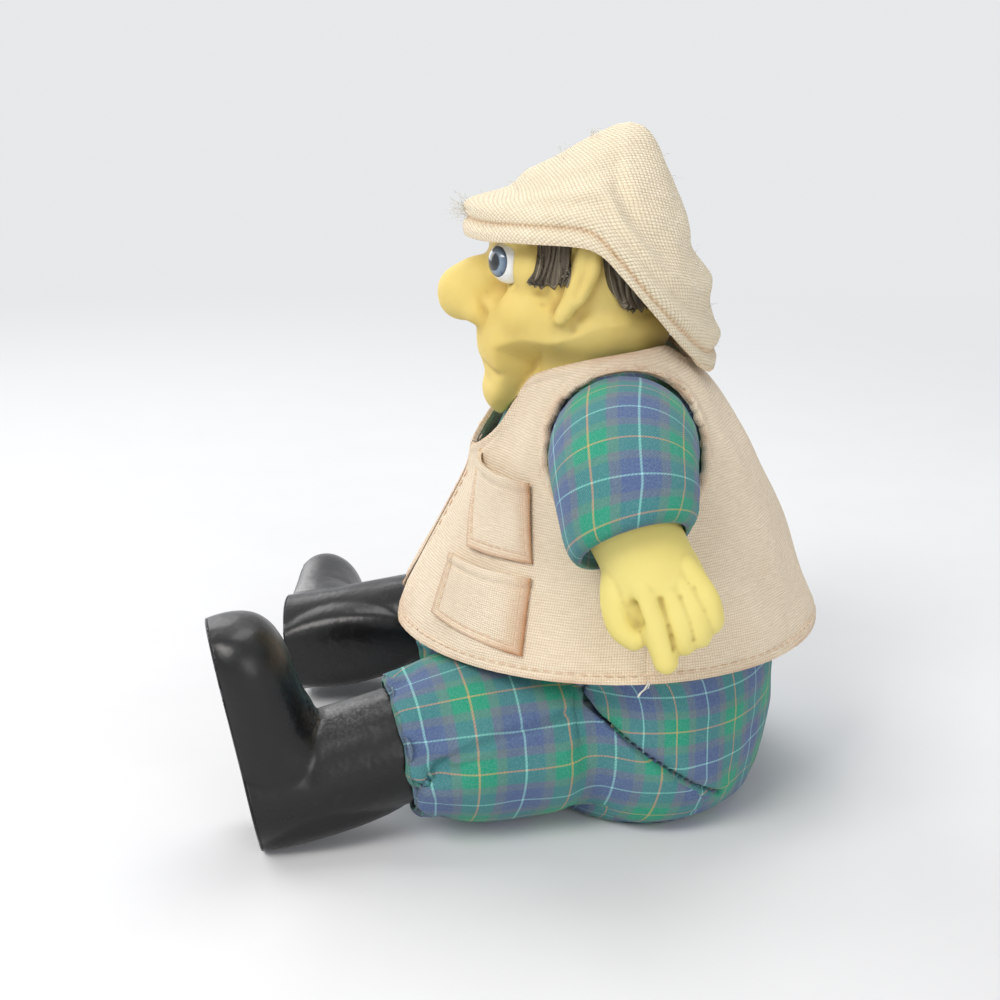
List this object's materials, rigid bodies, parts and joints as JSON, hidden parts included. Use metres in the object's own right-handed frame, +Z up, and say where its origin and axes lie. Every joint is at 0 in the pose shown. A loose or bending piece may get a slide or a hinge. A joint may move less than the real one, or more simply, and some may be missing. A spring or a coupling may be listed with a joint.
{
  "type": "seated fisherman figurine",
  "caption": "Seated soft-bodied fisherman figurine with a cast head, hands and boots tied into a stuffed tartan body, a canvas waistcoat with patch pockets and a pointed canvas cap.",
  "frame": {"origin": "on the flat seat base, in the middle plane of the body, under the shoulders", "axes": "+Z up, the figure faces -Y, its left side is +X"},
  "size_m": [0.1324, 0.1266, 0.14],
  "materials": {
    "skin_paint": "matte ochre paint on cast resin",
    "eye_gloss": "gloss white with a painted grey-blue iris",
    "hair_paint": "dry-brushed grey-brown",
    "cap_canvas": "cream plain-weave canvas",
    "vest_canvas": "peach-cream plain-weave cotton",
    "tartan_cloth": "green and blue tartan twill",
    "boot_gloss": "gloss black paint, scuffed",
    "tie_cord": "cotton cord",
    "pellets": "loose plastic beads",
    "wadding": "polyester stuffing"
  },
  "bodies": {
    "torso": {"body_skin": "tartan_cloth", "pellet_fill": "pellets", "wadding": "wadding", "neck_tie": "tie_cord", "vest_back": "vest_canvas", "vest_front_left": "vest_canvas", "vest_front_right": "vest_canvas", "chest_pocket_left": "vest_canvas", "chest_pocket_right": "vest_canvas", "waist_pocket_left": "vest_canvas", "waist_pocket_right": "vest_canvas"},
    "head": {"head": "skin_paint", "eye_left": "eye_gloss", "eye_right": "eye_gloss", "sideburn_left": "hair_paint", "sideburn_right": "hair_paint", "nape_hair": "hair_paint", "hat_crown": "cap_canvas", "hat_band": "cap_canvas"},
    "left_arm": {"sleeve_left": "tartan_cloth", "wrist_tie_left": "tie_cord"},
    "left_hand": {"hand_left": "skin_paint"},
    "left_leg": {"trouser_leg_left": "tartan_cloth", "ankle_tie_left": "tie_cord"},
    "left_boot": {"boot_left": "boot_gloss"},
    "right_arm": {"sleeve_right": "tartan_cloth", "wrist_tie_right": "tie_cord"},
    "right_hand": {"hand_right": "skin_paint"},
    "right_leg": {"trouser_leg_right": "tartan_cloth", "ankle_tie_right": "tie_cord"},
    "right_boot": {"boot_right": "boot_gloss"}
  },
  "joints": [
    {"name": "head_turn", "type": "hinge", "parent": "torso", "child": "head", "pos_m": [0, 0.0005, 0.0948], "axis": [0, 0, 1], "range_deg": [-15, 15]},
    {"name": "left_arm_swing", "type": "hinge", "parent": "torso", "child": "left_arm", "pos_m": [0.027, 0.0032, 0.08], "axis": [-1, 0, 0], "range_deg": [-30, 75]},
    {"name": "right_arm_swing", "type": "hinge", "parent": "torso", "child": "right_arm", "pos_m": [-0.027, 0.0032, 0.08], "axis": [-1, 0, 0], "range_deg": [-30, 75]},
    {"name": "left_hand_twist", "type": "hinge", "parent": "left_arm", "child": "left_hand", "pos_m": [0.04811, 0.0032, 0.06723], "axis": [0.3317, 0.2442, -0.9113], "range_deg": [-18, 18]},
    {"name": "right_hand_twist", "type": "hinge", "parent": "right_arm", "child": "right_hand", "pos_m": [-0.04811, 0.0032, 0.06723], "axis": [-0.3317, 0.2442, -0.9113], "range_deg": [-18, 18]},
    {"name": "left_leg_splay", "type": "hinge", "parent": "torso", "child": "left_leg", "pos_m": [0.0205, -0.008, 0.0185], "axis": [0, 0, 1], "range_deg": [-5, 14]},
    {"name": "right_leg_splay", "type": "hinge", "parent": "torso", "child": "right_leg", "pos_m": [-0.0205, -0.008, 0.0185], "axis": [0, 0, -1], "range_deg": [-10, 10]},
    {"name": "left_boot_roll", "type": "hinge", "parent": "left_leg", "child": "left_boot", "pos_m": [0.03281, -0.04183, 0.01856], "axis": [-0.2215, 0.9596, 0.1736], "range_deg": [-20, 85]},
    {"name": "right_boot_roll", "type": "hinge", "parent": "right_leg", "child": "right_boot", "pos_m": [-0.03628, -0.04036, 0.01856], "axis": [0.0344, 0.9842, 0.1736], "range_deg": [0, 100]}
  ]
}
